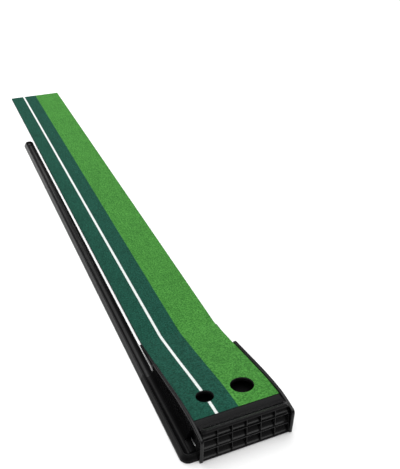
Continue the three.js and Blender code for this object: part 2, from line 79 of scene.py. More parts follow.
def make_camera():
    toward = Vector((
        -math.sin(CAMERA_AZIMUTH) * math.cos(CAMERA_DROP),
        -math.cos(CAMERA_AZIMUTH) * math.cos(CAMERA_DROP),
        -math.sin(CAMERA_DROP),
    ))
    right = Vector((-math.cos(CAMERA_AZIMUTH), math.sin(CAMERA_AZIMUTH), 0))
    up = right.cross(toward)
    cos_roll, sin_roll = math.cos(CAMERA_ROLL), math.sin(CAMERA_ROLL)
    right, up = right * cos_roll + up * sin_roll, up * cos_roll - right * sin_roll
    camera = bpy.data.objects.new("camera", bpy.data.cameras.new("camera"))
    camera.data.lens = CAMERA_LENS
    camera.data.sensor_width = 36
    camera.data.clip_end = 50
    matrix = Matrix.Identity(4)
    for row in range(3):
        matrix[row][0] = right[row]
        matrix[row][1] = up[row]
        matrix[row][2] = -toward[row]
        matrix[row][3] = place(CAMERA_AT)[row]
    camera.matrix_world = matrix
    bpy.context.scene.collection.objects.link(camera)
    bpy.context.scene.camera = camera


make_camera()

# ---- dimensions, as in the CAD ----
TURF_HALF = 150
TURF_THICK = 7
TURF_LENGTH = 3000
TURF_NEAR = -0.6
PIECE_GAP = 0.3
TURF_FAR = PIECE_GAP - TURF_LENGTH
FOLD_START = -510
FOLDS = 16
PANEL = (TURF_LENGTH + FOLD_START) / FOLDS
FOLD_OVERLAP = 12
FOLD_BEND = 22
HOLE_Y = -89
HOLES = [(73, 30), (-61, 40)]
HOLE_TRIM = 1.5
CUT_LOW, CUT_HIGH = 30, 150
LINE_X = 71.5
LINE_HALF = 5
COLOUR_EDGE_X = -4

RAMP_TOE = -486
RAMP_RISE = 92
RAMP_CROWN = 0.71
TOE_THICK = 1.2
TOE_LEAD = 12
DECK_THICK = 3
BASE_FLOOR = 2.3
ROOM_FRONT = -165
DECK_RIBS_X = (-80, 0, 80)
SHOULDER = 6.4
WALL_IN = 150.4
WALL_SKIN_IN = 157
WALL_SKIN_OUT = 160
RIM_OUT = 162
WALL_FRONT = -338
WALL_REAR = 84
WALL_REAR_TOP = 97
RIM_ABOVE_TURF = 6
RIM_CORNER = 14

PORT_Y, PORT_Z = 20, 47
PORT_HALF_WIDTH, PORT_HALF_HEIGHT = 24.5, 34.5

BACKSTOP_HALF = 149.8
BACKSTOP_FRONT = 1.8
BANK_START = 99.3
LIP_Y, LIP_Z, LIP_REAR = 62, 119.4, 67
LIP_CORNER = 20
CHEEK_FLOOR = 85
REAR_FOOT = 80
RIB_DEPTH = 22
RIB_THICK = 2.2
RIB_SETBACK = 2.4
RIB_COLUMNS = 6
RIB_LEVELS = (42, 80)
PANEL_FLOOR = 3
SKIN = 2.5

TRACK_MID = 184.5
RAIL = 20
CHANNEL = 15.5
SHELL = 17.7
GUTTER_FRONT = -318
GUTTER_FALL = 0.02
GUTTER_BEND_Y = 40
MOUTH_FRONT = -8
TROUGH_TOP = 46
TRACK_PIECES = 7
TRACK_PITCH = 280
TRACK_END = -2278

HOOK_HALF = 138
PLASTIC_CREASE = 38
TURF_CREASE = 50


def deck_top(y):
    u = (y - RAMP_TOE) / -RAMP_TOE
    return TOE_THICK + RAMP_RISE * (u + RAMP_CROWN * u ** 3 * (1 - u))


def turf_under(y):
    if y >= RAMP_TOE:
        return deck_top(y) + PIECE_GAP
    return max(0, (TOE_THICK + PIECE_GAP) * (1 - (RAMP_TOE - y) / TOE_LEAD))


def rim_top(y):
    crest = deck_top(0) + TURF_THICK + RIM_ABOVE_TURF
    if y <= 0:
        return deck_top(y) + TURF_THICK + RIM_ABOVE_TURF
    return crest - (crest - WALL_REAR_TOP) * (y / WALL_REAR) ** 2


# ---- shape helpers ----
def stations(start, end, count):
    return [start + (end - start) * i / count for i in range(count + 1)]


def arc(centre, radius, start, end, count):
    angles = [math.radians(a) for a in stations(start, end, count)]
    return [(centre[0] + radius * math.cos(a), centre[1] + radius * math.sin(a)) for a in angles]


def rounded(points, steps=4):
    """A closed outline whose corners given as (a, b, radius) are rounded off."""
    result = []
    for i, point in enumerate(points):
        here = Vector(point[:2])
        radius = point[2] if len(point) > 2 else 0
        if not radius:
            result.append(tuple(here))
            continue
        before, after = Vector(points[i - 1][:2]), Vector(points[(i + 1) % len(points)][:2])
        back, on = before - here, after - here
        start = here + back.normalized() * min(radius, back.length * 0.48)
        end = here + on.normalized() * min(radius, on.length * 0.48)
        for t in stations(0, 1, steps):
            result.append(tuple(start * (1 - t) ** 2 + here * 2 * t * (1 - t) + end * t * t))
    return result


def finish_mesh(bm, name, material, crease=PLASTIC_CREASE):
    bmesh.ops.recalc_face_normals(bm, faces=bm.faces)
    mesh = bpy.data.meshes.new(name)
    bm.to_mesh(mesh)
    bm.free()
    piece = bpy.data.objects.new(name, mesh)
    bpy.context.scene.collection.objects.link(piece)
    mesh.materials.append(material)
    mesh.shade_smooth()
    mesh.set_sharp_from_angle(angle=math.radians(crease))
    return piece


def add_rings(bm, rings):
    """Four-sided faces from each closed ring of vertices to the next."""
    for first, second in zip(rings, rings[1:]):
        for i in range(len(first)):
            j = (i + 1) % len(first)
            bm.faces.new((first[i], first[j], second[j], second[i]))


def add_loft(bm, loops):
    """A skin over closed loops of drawn points, capped at both ends."""
    rings = [[bm.verts.new(place(p)) for p in loop] for loop in loops]
    add_rings(bm, rings)
    add_cap(bm, rings[0], loops[1])
    add_cap(bm, rings[-1], loops[-2])


def add_cap(bm, ring, outline):
    """Closes an end. The triangles come from the full outline beside it, which may be hollow-sided."""
    for corners in tessellate_polygon([[Vector(p) for p in outline]]):
        if len(set(corners)) == 3:
            bm.faces.new([ring[i] for i in corners])


def add_plate(bm, outline, axis, start, end, edge=0.5):
    """An outline extruded along an axis, its two faces drawn in a little so that the edges are soft."""
    middle = Vector((sum(p[0] for p in outline) / len(outline), sum(p[1] for p in outline) / len(outline)))
    size = max((Vector(p[:2]) - middle).length for p in outline)

    def at(along, share):
        loop = []
        for p in outline:
            a, b = middle + (Vector(p[:2]) - middle) * share
            loop.append({"x": (along, a, b), "y": (a, along, b), "z": (a, b, along)}[axis])
        return loop

    drawn_in = 1 - edge / size
    add_loft(bm, [at(start, drawn_in), at(start + edge, 1), at(end - edge, 1), at(end, drawn_in)])


def apply_modifiers(piece):
    depsgraph = bpy.context.evaluated_depsgraph_get()
    mesh = bpy.data.meshes.new_from_object(piece.evaluated_get(depsgraph))
    piece.modifiers.clear()
    old = piece.data
    piece.data = mesh
    bpy.data.meshes.remove(old)


def cut(piece, cutter):
    modifier = piece.modifiers.new("cut", "BOOLEAN")
    modifier.operation = "DIFFERENCE"
    modifier.solver = "EXACT"
    modifier.object = cutter
    apply_modifiers(piece)
    bpy.data.objects.remove(cutter)


def plug_shape(outline, axis, start, end, material):
    """A cutter: an outline extruded along an axis."""
    bm = bmesh.new()
    at = {
        "x": lambda along, a, b: (along, a, b),
        "z": lambda along, a, b: (a, b, along),
    }[axis]
    add_loft(bm, [[at(start, *p) for p in outline], [at(end, *p) for p in outline]])
    return finish_mesh(bm, "cutter", material)


def settle(piece, body, slot, *nodes):
    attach(piece, body)
    if nodes:
        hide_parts(*nodes)
    return piece


# ---- materials ----
class Nodes:
    def __init__(self, name):
        self.material = bpy.data.materials.new(name)
        self.material.use_nodes = True
        self.tree = self.material.node_tree
        self.shader = self.tree.nodes["Principled BSDF"]
        self.place = self.add("ShaderNodeTexCoord").outputs["Object"]

    def add(self, kind, **settings):
        node = self.tree.nodes.new(kind)
        for name, value in settings.items():
            setattr(node, name, value)
        return node

    def link(self, source, target):
        self.tree.links.new(source, target)

    def feed(self, node, **inputs):
        for name, value in inputs.items():
            socket = node.inputs[name.replace("_", " ")]
            if isinstance(value, bpy.types.NodeSocket):
                self.link(value, socket)
            else:
                socket.default_value = value
        return node

    def noise(self, scale, detail=2.0, roughness=0.5, vector=None):
        node = self.add("ShaderNodeTexNoise")
        self.feed(node, Vector=vector or self.place, Scale=scale, Detail=detail, Roughness=roughness)
        return node.outputs["Fac"]

    def stretched(self, scale):
        node = self.add("ShaderNodeMapping")
        self.feed(node, Vector=self.place, Scale=scale)
        return node.outputs["Vector"]

    def ramp(self, value, stops):
        node = self.add("ShaderNodeValToRGB")
        while len(node.color_ramp.elements) < len(stops):
            node.color_ramp.elements.new(0.5)
        for element, (position, colour) in zip(node.color_ramp.elements, stops):
            element.position = position
            element.color = (*colour, 1)
        self.link(value, node.inputs["Fac"])
        return node.outputs["Color"]

    def tint(self, colour, value, *stops):
        """The colour multiplied by a ramp over the value, for darker and paler patches."""
        return self.mix(1.0, colour, self.ramp(value, stops), "MULTIPLY")

    def map(self, value, low, high, to_low, to_high):
        node = self.add("ShaderNodeMapRange")
        self.feed(node, Value=value, From_Min=low, From_Max=high, To_Min=to_low, To_Max=to_high)
        return node.outputs["Result"]

    def math(self, operation, a, b=0.0):
        node = self.add("ShaderNodeMath", operation=operation)
        for socket, value in zip(node.inputs, (a, b)):
            if isinstance(value, bpy.types.NodeSocket):
                self.link(value, socket)
            else:
                socket.default_value = value
        return node.outputs["Value"]

    def mix(self, share, a, b, blend="MIX"):
        node = self.add("ShaderNodeMix", data_type="RGBA", blend_type=blend)
        for name, value in (("Factor_Float", share), ("A_Color", a), ("B_Color", b)):
            socket = next(s for s in node.inputs if s.identifier == name)
            if isinstance(value, bpy.types.NodeSocket):
                self.link(value, socket)
            else:
                socket.default_value = value if isinstance(value, float) else (*value, 1)
        return next(s for s in node.outputs if s.identifier == "Result_Color")

    def bump(self, height, distance, strength=1.0, under=None):
        node = self.add("ShaderNodeBump")
        self.feed(node, Height=height, Distance=distance, Strength=strength)
        if under:
            self.link(under, node.inputs["Normal"])
        return node.outputs["Normal"]


def plastic(name, colour, gloss, grain, shine=0.2):
    """Injection-moulded plastic: a fine moulded grain, slow sink marks, and handling marks in the gloss."""
    n = Nodes(name)
    cloudy = n.noise(9, 3)
    scuffs = n.noise(60, 4, 0.6, n.stretched((1, 7, 1)))
    fine = n.noise(1400, 2)
    darker, paler = (tuple(c * share for c in colour) for share in (0.8, 1.25))
    n.link(n.ramp(cloudy, [(0.3, darker), (0.7, paler)]), n.shader.inputs["Base Color"])
    rough = n.math("ADD", n.map(cloudy, 0.3, 0.7, gloss - 0.04, gloss + 0.05),
                   n.map(scuffs, 0.55, 0.75, 0, 0.12))
    n.link(rough, n.shader.inputs["Roughness"])
    slow = n.bump(n.noise(22, 2), 0.0002, 0.4)
    n.link(n.bump(fine, grain, 0.25, slow), n.shader.inputs["Normal"])
    n.shader.inputs["Specular IOR Level"].default_value = shine
    return n.material


def turf_pile():
    """Short dense pile in two greens with a white putting line, speckled by the tips of its fibres."""
    n = Nodes("turf_pile")
    split = n.add("ShaderNodeSeparateXYZ")
    n.link(n.place, split.inputs["Vector"])
    across = split.outputs["X"]
    centre = ORIGIN.x
    ragged = n.math("MULTIPLY", n.math("SUBTRACT", n.noise(420, 2), 0.5), 0.0035)
    across = n.math("ADD", across, ragged)
    side = n.map(across, centre + (COLOUR_EDGE_X - 1.2) * MM, centre + (COLOUR_EDGE_X + 1.2) * MM, 0, 1)
    off_line = n.math("ABSOLUTE", n.math("SUBTRACT", across, centre + LINE_X * MM))
    line = n.map(off_line, (LINE_HALF - 0.8) * MM, (LINE_HALF + 0.8) * MM, 1, 0)
    patches = n.noise(7, 4, 0.6)
    tips = n.noise(620, 3, 0.7)
    tufts = n.noise(190, 3, 0.65)
    clumps = n.noise(150, 3, 0.7)
    light = n.mix(n.map(tips, 0.35, 0.68, 0, 1), (0.034, 0.165, 0.023), (0.118, 0.42, 0.08))
    dark = n.mix(n.map(tips, 0.35, 0.68, 0, 1), (0.005, 0.044, 0.03), (0.022, 0.132, 0.092))
    green = n.mix(side, light, dark)
    green = n.tint(green, clumps, (0.4, (0.52, 0.6, 0.56)), (0.6, (1.16, 1.12, 1.12)))
    swirls = n.noise(38, 3, 0.7)
    green = n.tint(green, swirls, (0.36, (0.84, 0.87, 0.86)), (0.62, (1.06, 1.04, 1.04)))
    white = n.mix(n.map(tips, 0.3, 0.7, 0, 1), (0.7, 0.74, 0.72), (0.95, 0.96, 0.95))
    colour = n.mix(line, green, white)
    shade = n.tint(colour, tufts, (0.3, (0.84, 0.86, 0.85)), (0.7, (1.0, 1.0, 1.0)))
    shade = n.tint(shade, patches, (0.3, (0.88, 0.9, 0.9)), (0.7, (1.0, 1.0, 1.0)))
    n.link(shade, n.shader.inputs["Base Color"])
    n.shader.inputs["Roughness"].default_value = 0.95
    n.shader.inputs["Specular IOR Level"].default_value = 0.06
    n.shader.inputs["Sheen Weight"].default_value = 0.04
    n.shader.inputs["Sheen Roughness"].default_value = 0.5
    coarse = n.bump(clumps, 0.003, 0.8, n.bump(tufts, 0.0022, 0.8))
    n.link(n.bump(tips, 0.0012, 0.9, coarse), n.shader.inputs["Normal"])
    return n.material


def backing():
    """Dark rubbery felt under the pile, with a fine open weave."""
    n = Nodes("turf_backing")
    threads = n.noise(900, 2, 0.5, n.stretched((1, 0.25, 1)))
    cross = n.noise(900, 2, 0.5, n.stretched((0.25, 1, 1)))
    weave = n.math("MAXIMUM", threads, cross)
    mottled = n.noise(40, 4, 0.6)
    colour = n.mix(n.map(weave, 0.45, 0.7, 0, 1), (0.012, 0.012, 0.013), (0.055, 0.055, 0.058))
    colour = n.tint(colour, mottled, (0.3, (0.7, 0.7, 0.7)), (0.7, (1.0, 1.0, 1.0)))
    n.link(colour, n.shader.inputs["Base Color"])
    n.shader.inputs["Roughness"].default_value = 0.9
    n.link(n.bump(weave, 0.0006, 0.8), n.shader.inputs["Normal"])
    return n.material


def hook_tape():
    n = Nodes("hook_tape")
    hooks = n.add("ShaderNodeTexVoronoi")
    n.feed(hooks, Vector=n.place, Scale=800)
    height = n.map(hooks.outputs["Distance"], 0, 0.7, 1, 0)
    # The colour follows the hooks' height: painted shade in the gaps between the hooks and a paler painted
    # highlight on their tops.
    n.link(n.mix(height, (0.01, 0.01, 0.011), (0.06, 0.06, 0.064)), n.shader.inputs["Base Color"])
    n.shader.inputs["Roughness"].default_value = 0.85
    n.link(n.bump(height, 0.0008), n.shader.inputs["Normal"])
    return n.material


def rubber():
    n = Nodes("foot_rubber")
    n.link(n.ramp(n.noise(90, 4), [(0.3, (0.02, 0.02, 0.021)), (0.7, (0.045, 0.045, 0.046))]),
           n.shader.inputs["Base Color"])
    n.link(n.map(n.noise(300, 2), 0.3, 0.7, 0.7, 0.9), n.shader.inputs["Roughness"])
    n.link(n.bump(n.noise(1200, 2), 0.0002), n.shader.inputs["Normal"])
    return n.material


def zinc():
    n = Nodes("zinc_screw")
    n.link(n.ramp(n.noise(500, 3), [(0.3, (0.45, 0.46, 0.47)), (0.7, (0.62, 0.63, 0.64))]),
           n.shader.inputs["Base Color"])
    n.shader.inputs["Metallic"].default_value = 1
    n.link(n.map(n.noise(900, 2), 0.3, 0.7, 0.25, 0.42), n.shader.inputs["Roughness"])
    return n.material


GLOSS_BLACK = plastic("black_plastic", (0.004, 0.004, 0.0043), 0.19, 0.00003)
SATIN_BLACK = plastic("satin_plastic", (0.007, 0.007, 0.0074), 0.4, 0.00008)
# The same black plastic with its reflections turned far down so that it reads darker: painted shade, a
# shaded copy of one material for the backstop's bank and the gutter.
SHADED_BLACK = plastic("shaded_black_plastic", (0.004, 0.004, 0.0043), 0.24, 0.00003, shine=0.08)
PILE = turf_pile()
BACKING = backing()
HOOK = hook_tape()
RUBBER = rubber()
ZINC = zinc()


# ---- base: side walls with a rounded rim ----
def wall_outline(inset):
    front, rear = WALL_FRONT + inset, WALL_REAR - inset
    corner = max(RIM_CORNER - inset, 5)
    lowest = BASE_FLOOR + 0.01 * (40 - inset)
    front_top = max(lowest, rim_top(front + corner) - inset - corner)
    rear_top = rim_top(rear - corner) - inset - corner
    top = [(y, max(lowest, rim_top(y) - inset)) for y in stations(front + corner, rear - corner, 48)]
    return [
        (front, BASE_FLOOR),
        *arc((front + corner, front_top), corner, 180, 100, 8),
        *top,
        *arc((rear - corner, rear_top), corner, 80, 0, 8),
        (rear - 2, BASE_FLOOR),
    ]


# Across the wall from its inner face, over the rim, to its outer face: x and how far in from the outline.
WALL_SECTION = [
    (WALL_SKIN_IN, 12), (WALL_SKIN_IN, 9), (156.4, 8.2), (155, 8), (151.6, 8), (150.8, 7.7), (150.4, 7),
    (150.4, 3.4), (150.8, 1.9), (151.8, 0.8), (153.2, 0.2), (155, 0), (157.6, 0), (159.4, 0.3), (160.8, 1.1),
    (161.7, 2.3), (RIM_OUT, 3.8), (RIM_OUT, 6.4), (161.8, 9), (161.4, 13), (160.8, 19), (160.3, 27),
    (WALL_SKIN_OUT, 36),
]


def make_wall(side, name):
    bm = bmesh.new()
    add_loft(bm, [[(side * x, y, z) for y, z in wall_outline(inset)] for x, inset in WALL_SECTION])
    wall = finish_mesh(bm, name, GLOSS_BLACK)
    if side > 0:
        outline = [(PORT_Y + PORT_HALF_WIDTH * math.cos(math.radians(a)),
                    PORT_Z + PORT_HALF_HEIGHT * math.sin(math.radians(a))) for a in range(0, 360, 6)]
        cut(wall, plug_shape(outline, "x", WALL_IN - 5, RIM_OUT + 5, GLOSS_BLACK))
        wall.data.set_sharp_from_angle(angle=math.radians(PLASTIC_CREASE))
    return settle(wall, "base", "black_plastic", "ramp_wall_return" if side > 0 else "ramp_wall_far")


make_wall(1, "wall_return_side")
make_wall(-1, "wall_far_side")


def make_deck():
    """The sloping deck, its hole collars and the ribs under it."""
    bm = bmesh.new()
    loops = []
    for y in stations(WALL_FRONT, 0, 60):
        high, low = deck_top(y), deck_top(y) - DECK_THICK
        half = WALL_IN + 0.5
        loops.append([(-half, y, low), (half, y, low), (half, y, high), (-half, y, high)])
    add_loft(bm, loops)
    deck = finish_mesh(bm, "ramp_deck", SATIN_BLACK)
    for x, radius in HOLES:
        rim = arc((x, HOLE_Y), radius + HOLE_TRIM, 0, 354, 59)
        cut(deck, plug_shape(rim, "z", CUT_LOW, CUT_HIGH, SATIN_BLACK))
    bm = bmesh.new()
    bm.from_mesh(deck.data)
    for y in (WALL_FRONT + 0.2, ROOM_FRONT):
        high = deck_top(y) - 1
        add_plate(bm, [(-WALL_SKIN_IN, BASE_FLOOR), (WALL_SKIN_IN, BASE_FLOOR), (WALL_SKIN_IN, high - 2),
                       (WALL_IN, high - 1), (WALL_IN, high), (-WALL_IN, high), (-WALL_IN, high - 1),
                       (-WALL_SKIN_IN, high - 2)], "y", y, y + SKIN)
    rib_rear = ROOM_FRONT + 1
    for x in DECK_RIBS_X:
        top = [(y, deck_top(y) - 1) for y in stations(rib_rear, WALL_FRONT + 1, 10)]
        add_plate(bm, [(WALL_FRONT + 1, BASE_FLOOR), (rib_rear, BASE_FLOOR), *top],
                  "x", x - RIB_THICK / 2, x + RIB_THICK / 2)
    for x, radius in HOLES:
        add_collar(bm, x, radius)
    bmesh.ops.recalc_face_normals(bm, faces=bm.faces)
    bm.to_mesh(deck.data)
    bm.free()
    deck.data.shade_smooth()
    deck.data.set_sharp_from_angle(angle=math.radians(PLASTIC_CREASE))
    return settle(deck, "base", "black_plastic", "ramp_deck_plate", "ramp_deck_ribs")


def add_collar(bm, x, radius):
    """A short ring that lines the hole through the deck and turns over its lower edge."""
    section = [(0.2, 2.5), (0.2, -9), (1.1, -9.6), (1.7, -9), (1.7, 0), (1.7, 2.5), (1.1, 3.1)]
    profile = [(radius + out, z) for out, z in section]
    rings = []
    for angle in range(0, 360, 6):
        cos, sin = math.cos(math.radians(angle)), math.sin(math.radians(angle))
        rings.append([(x + r * cos, HOLE_Y + r * sin, deck_top(HOLE_Y + r * sin) + z) for r, z in profile])
    verts = [[bm.verts.new(place(p)) for p in ring] for ring in rings]
    add_rings(bm, [*verts, verts[0]])


make_deck()


def shoulder(half, high, count=10):
    """From the deck's edge beside the turf, rounding over and down to the floor."""
    top, turn, low = Vector((half - SHOULDER, high)), Vector((half, high)), Vector((half, high * 0.2))
    curve = [top * (1 - t) ** 2 + turn * 2 * t * (1 - t) + low * t * t for t in stations(0, 1, count)]
    return [*[tuple(p) for p in curve], (half, 0)]


def make_front_ramp():
    """The low front of the ramp, with rounded shoulders and skirts to the floor."""
    half, rear = WALL_SKIN_IN, WALL_FRONT - PIECE_GAP
    bm = bmesh.new()
    loops = []
    for y in stations(RAMP_TOE, rear, 30):
        high = deck_top(y)
        under = max(0.02, (high - DECK_THICK) * 0.9)
        right = shoulder(half, high)
        left = [(-x, z) for x, z in reversed(right)]
        inner = half - SHOULDER
        outline = [*left, *right, (half - 2.6, 0), (inner - 1, under), (1 - inner, under), (2.6 - half, 0)]
        loops.append([(x, y, z) for x, z in outline])
    add_loft(bm, loops)
    wall = deck_top(rear)
    add_plate(bm, [(1 - half, 0.1), (half - 1, 0.1), (half - 1, wall - 3), (half - 4, wall - 1),
                   (4 - half, wall - 1), (1 - half, wall - 3)], "y", rear - SKIN, rear)
    for x in DECK_RIBS_X:
        top = [(y, deck_top(y) - 0.6) for y in stations(rear - 1, RAMP_TOE + 10, 6)]
        add_plate(bm, [(RAMP_TOE + 10, 0.1), (rear - 1, 0.1), *top],
                  "x", x - RIB_THICK / 2, x + RIB_THICK / 2)
    return settle(finish_mesh(bm, "front_ramp_shell", GLOSS_BLACK), "base", "black_plastic", "front_ramp")


make_front_ramp()


# ---- backstop ----
def bank_top(y):
    share = max(0, (y - BACKSTOP_FRONT) / (LIP_Y - BACKSTOP_FRONT))
    return BANK_START + (LIP_Z - BANK_START) * share ** 2.2


def rear_plane(z):
    return REAR_FOOT + (LIP_REAR - REAR_FOOT) * z / LIP_Z


def plate(z):
    return rear_plane(z) - RIB_DEPTH


def rib_edge(z):
    """The upright ribs stop a little short of the rear plane."""
    return rear_plane(z) - RIB_SETBACK


def scoop_outline(low, high):
    """A cell's shell, from deep under the rib above to the outer edge of the rib below."""
    depth, height = RIB_DEPTH - 0.8, high - low
    turns = [math.radians(a) for a in stations(0, 90, 18)]
    face = [(plate(high) + depth * (1 - math.cos(t)) + (plate(low) - plate(high)) * math.sin(t),
             high - height * math.sin(t)) for t in turns]
    edge_y, edge_z = face[-1]
    edge = [(edge_y + 0.6, edge_z - 0.3), (edge_y + 0.8, edge_z - 1.1), (edge_y + 0.4, edge_z - 2.0)]
    behind = [(y - SKIN, z - RIB_THICK) for y, z in reversed(face)]
    return [*face, *edge, *behind]


def corner_drop(x):
    """How far the backstop's rounded upper corners fall away towards its ends."""
    over = abs(x) - (BACKSTOP_HALF - LIP_CORNER)
    if over <= 0:
        return 0
    return LIP_CORNER - math.sqrt(max(0, LIP_CORNER ** 2 - min(over, LIP_CORNER) ** 2))


def make_backstop():
    bm = bmesh.new()
    loops = []
    half = BACKSTOP_HALF
    ends = [half - LIP_CORNER * (1 - math.sin(math.radians(a))) for a in stations(0, 88, 12)]
    xs = [-x for x in reversed(ends)] + stations(-half + LIP_CORNER + 10, half - LIP_CORNER - 10, 24) + ends
    for x in xs:
        limit = LIP_Z - corner_drop(x)
        top = [(y, bank_top(y)) for y in stations(BACKSTOP_FRONT, LIP_Y - 1.5, 20)]
        lip = [(LIP_Y - 0.6, LIP_Z - 0.5), (LIP_Y + 0.6, LIP_Z - 0.1), (LIP_Y + 2.2, LIP_Z),
               (LIP_REAR - 2, LIP_Z - 0.1), (LIP_REAR - 0.7, LIP_Z - 0.7), (LIP_REAR, LIP_Z - 2)]
        rear = [(rear_plane(z), z) for z in (LIP_Z - 5, LIP_Z - 9)]
        under = [(LIP_REAR - 3, LIP_Z - 9.6), (LIP_Y - 2, LIP_Z - 6)]
        back = [(y + 1, bank_top(y) - SKIN) for y in stations(LIP_Y - 6, BACKSTOP_FRONT + 3, 10)]
        foot = [(BACKSTOP_FRONT + 2.6, 90.5), (BACKSTOP_FRONT + 2, 90), (BACKSTOP_FRONT + 0.5, 90),
                (BACKSTOP_FRONT, 90.5)]
        outline = [*top, *lip, *rear, *under, *back, *foot]
        loops.append([(x, y, min(z, limit)) for y, z in outline])
    add_loft(bm, loops)
    # The bank takes the shaded copy of the black plastic: painted shade.
    bank = finish_mesh(bm, "backstop_bank", SHADED_BLACK)
    settle(bank, "base", "black_plastic", "backstop")

    bm = bmesh.new()
    floors = [PANEL_FLOOR, *RIB_LEVELS]
    ceilings = [*RIB_LEVELS, LIP_Z - 8]
    for low, high in zip(floors, ceilings):
        scoop = scoop_outline(low + RIB_THICK, high)
        add_loft(bm, [[(x, y, min(z, LIP_Z - 7 - corner_drop(x))) for y, z in scoop] for x in xs])
    for i in range(RIB_COLUMNS + 1):
        x = -half + RIB_THICK / 2 + (2 * half - RIB_THICK) * i / RIB_COLUMNS
        high = LIP_Z - 7 - corner_drop(x + math.copysign(RIB_THICK / 2, x))
        outline = rounded([
            (plate(PANEL_FLOOR) + 1, PANEL_FLOOR), (rib_edge(PANEL_FLOOR), PANEL_FLOOR, 1),
            (rib_edge(high), high, 1), (LIP_Y - 4, high - 1), (plate(98) + 1, min(98, high - 2)),
        ])
        add_plate(bm, outline, "x", x - RIB_THICK / 2, x + RIB_THICK / 2, 0.4)
    for side in (-1, 1):
        front, rear = BACKSTOP_FRONT + 0.4, plate(CHEEK_FLOOR) + 2
        cheek = [(front, CHEEK_FLOOR), (rear, CHEEK_FLOOR)]
        cheek += [(y, bank_top(y) - 2) for y in stations(rear, front, 6)]
        near, far = sorted((side * (half - RIB_THICK), side * half))
        add_plate(bm, cheek, "x", near, far, 0.4)
    panel = finish_mesh(bm, "backstop_ribs", GLOSS_BLACK)
    settle(panel, "base", "black_plastic")


make_backstop()

# ---- gutter and track ----
# The channel's section from the outer skirt's foot over the two rails; the inner skirt is steeper.
OUTER_SKIRT = [(213.5, 0, 0.6), (212.6, 3.4, 1.5), (206.6, 14, 3), (204.4, 19.2, 1.6), (202.8, RAIL, 1.2)]
OUTER_UNDER = [(203.5, 13), (210, 2.6), (210.6, 0)]
INNER_SKIRT = [(166.0, RAIL, 1.2), (164.9, 17, 1.6), (163.6, 8, 2), (162.3, 0, 0.5)]
INNER_UNDER = [(164.2, 0), (165.8, 13)]


def channel_floor(start, end, count):
    return arc((TRACK_MID, RAIL), CHANNEL, start, end, count)


def underside(start, end, count):
    return arc((TRACK_MID, RAIL), SHELL, start, end, count)


def track_section():
    return rounded([
        *OUTER_SKIRT,
        (TRACK_MID + CHANNEL, RAIL, 0.9),
        *channel_floor(-8, -172, 34),
        (TRACK_MID - CHANNEL, RAIL, 0.9),
        *INNER_SKIRT,
        *INNER_UNDER,
        *underside(-158, -22, 24),
        *OUTER_UNDER,
    ], 3)


def half_section():
    """The outer half, from the middle of the channel's floor out over the rail and back underneath."""
    return rounded([
        *channel_floor(-90, -8, 18),
        (TRACK_MID + CHANNEL, RAIL, 0.9),
        *reversed(OUTER_SKIRT),
        *reversed(OUTER_UNDER),
        *underside(-22, -89, 12),
    ], 3)


def inner_half_section():
    mirrored = [*channel_floor(-90, -172, 18), (TRACK_MID - CHANNEL, RAIL, 0.9), *INNER_SKIRT, *INNER_UNDER,
                *underside(-158, -91, 12)]
    return rounded(mirrored, 3)


def draw_in(outline, amount):
    """The outline pulled towards the middle of its own thickness, for a soft end edge."""
    count = len(outline)
    result = []
    for i, (x, z) in enumerate(outline):
        before, after = Vector(outline[i - 1]), Vector(outline[(i + 1) % count])
        tangent = after - before
        if tangent.length < 1e-6:
            result.append((x, z))
            continue
        normal = Vector((tangent.y, -tangent.x)).normalized()
        result.append((x + normal.x * amount, z + normal.y * amount))
    return result


def signed_area(outline):
    return sum(a[0] * b[1] - b[0] * a[1] for a, b in zip(outline, outline[1:] + outline[:1])) / 2


def run_along(bm, outline, y0, y1, lift=lambda y, z: z, edge=0.35, count=1):
    inward = edge if signed_area(outline) < 0 else -edge
    small = draw_in(outline, inward)
    loops = [(y0, small), (y0 + edge, outline)]
    loops += [(y, outline) for y in stations(y0 + edge, y1 - edge, count)[1:]]
    loops.append((y1, small))
    add_loft(bm, [[(x, y, lift(y, z)) for x, z in loop] for y, loop in loops])


def fall(y, z):
    """The gutter falls towards the track; what stands on the floor stays there."""
    return z + GUTTER_FALL * (y - GUTTER_FRONT) if z > 1 else z


def make_track():
    section = track_section()
    for i in range(TRACK_PIECES):
        y1 = GUTTER_FRONT - PIECE_GAP - i * TRACK_PITCH
        y0 = y1 - TRACK_PITCH + PIECE_GAP
        bm = bmesh.new()
        run_along(bm, section, y0, y1, count=6)
        tongue(bm, y0)
        name = f"track_{i + 1:02d}"
        track = finish_mesh(bm, name + "_shell", GLOSS_BLACK)
        settle(track, f"track_piece_{i + 1:02d}", "black_plastic", name)
    bm = bmesh.new()
    y = TRACK_END - PIECE_GAP
    run_along(bm, section, y - 3, y)
    add_loft(bm, turned(half_section(), (TRACK_MID, y - 3), 0, -90))
    add_loft(bm, turned(inner_half_section(), (TRACK_MID, y - 3), 0, 90))
    stop = finish_mesh(bm, "track_end_bowl", GLOSS_BLACK)
    settle(stop, f"track_piece_{TRACK_PIECES:02d}", "black_plastic", "track_end_stop")


def tongue(bm, y):
    """The flat snap tongue that slips under the next piece."""
    outline = rounded([(TRACK_MID - 10, y - 15, 3), (TRACK_MID + 10, y - 15, 3), (TRACK_MID + 10, y + 15),
                       (TRACK_MID - 10, y + 15)])
    add_plate(bm, outline, "z", 0.3, 1.9, 0.4)


def turned(half, pivot, start, end, count=20):
    """The loops of a half section turned about a vertical line through the pivot."""
    loops = []
    for angle in stations(start, end, count):
        cos, sin = math.cos(math.radians(angle)), math.sin(math.radians(angle))
        out = [(x - TRACK_MID, z) for x, z in half]
        loops.append([(pivot[0] + r * cos, pivot[1] + r * sin, z) for r, z in out])
    return loops


